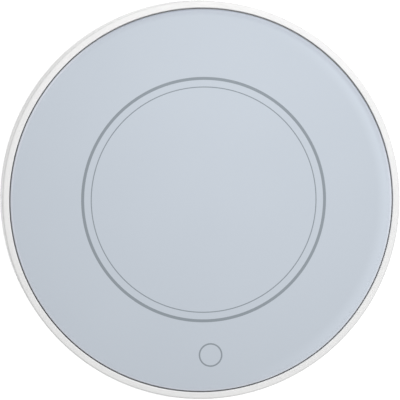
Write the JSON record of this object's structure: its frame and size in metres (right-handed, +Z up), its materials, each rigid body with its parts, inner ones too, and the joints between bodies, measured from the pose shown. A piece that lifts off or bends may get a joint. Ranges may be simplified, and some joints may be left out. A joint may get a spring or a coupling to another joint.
{
  "type": "electric mug warmer",
  "caption": "Round electric mug warmer: white plastic body with a let-in pale grey-blue glass top, printed heater rings and touch key, inlet at the back.",
  "frame": {"origin": "middle of the underside, level with the bottoms of the feet", "axes": "+Z up through the glass top, -Y towards the front where the touch key is, +Y towards the power inlet, +X to the right"},
  "size_m": [0.13, 0.13, 0.024],
  "materials": {
    "white_shell": "satin moulded white",
    "painted_glass": "clear glass over a pale grey-blue back print",
    "foot_silicone": "matte soft silicone",
    "seal_silicone": "matte silicone",
    "bonding_tape": "matte foam tape",
    "heat_film": "matte heat-conducting film",
    "aluminium_sheet": "rolled sheet",
    "mica_sheet": "pressed mica",
    "resistance_foil": "etched foil",
    "fibre_pad": "pressed ceramic fibre",
    "zinc_sheet": "zinc-plated sheet",
    "screw_steel": "zinc-plated steel",
    "bead_resin": "dipped resin",
    "tinned_metal": "tinned copper",
    "woven_sleeve": "woven glass-fibre sleeve",
    "board_laminate": "green solder resist",
    "chip_resin": "moulded resin",
    "capacitor_can": "drawn can",
    "plug_nylon": "natural nylon",
    "lamp_resin": "clear-cast resin",
    "spring_steel": "drawn wire",
    "shroud_white": "opaque white",
    "inlet_steel": "drawn stainless sheet",
    "inlet_black": "glass-filled plastic",
    "contact_gold": "gold-flashed contacts",
    "wire_red": "silicone insulation",
    "wire_black": "silicone insulation",
    "wire_white": "silicone insulation"
  },
  "bodies": {
    "root": {"glass_plate": "painted_glass", "upper_housing": "white_shell", "lower_housing": "white_shell", "feet": "foot_silicone", "base_screws": "screw_steel", "adhesive_ring": "bonding_tape", "heater_seal": "seal_silicone", "thermal_film": "heat_film", "heat_spreader": "aluminium_sheet", "upper_mica_sheet": "mica_sheet", "heating_foil": "resistance_foil", "lower_mica_sheet": "mica_sheet", "insulation_pad": "fibre_pad", "heater_bracket": "zinc_sheet", "bracket_screws": "screw_steel", "thermistor": "bead_resin", "thermistor_leads": "wire_white", "sensor_cushion": "seal_silicone", "thermal_fuse": "tinned_metal", "fuse_sleeve": "woven_sleeve", "heater_lead_fused": "wire_white", "heater_lead_return": "wire_white", "control_board": "board_laminate", "controller_chip": "chip_resin", "power_mosfet": "chip_resin", "filter_capacitor": "capacitor_can", "board_resistors": "chip_resin", "power_connector": "plug_nylon", "heater_connector": "plug_nylon", "sensor_connector": "plug_nylon", "key_lamp": "lamp_resin", "touch_spring": "spring_steel", "key_shroud": "shroud_white", "board_screws": "screw_steel", "inlet_board": "board_laminate", "inlet_shell": "inlet_steel", "inlet_tongue": "inlet_black", "inlet_contacts": "contact_gold", "inlet_screws": "screw_steel", "power_wire_negative": "wire_black", "power_wire_positive": "wire_red"}
  },
  "joints": []
}
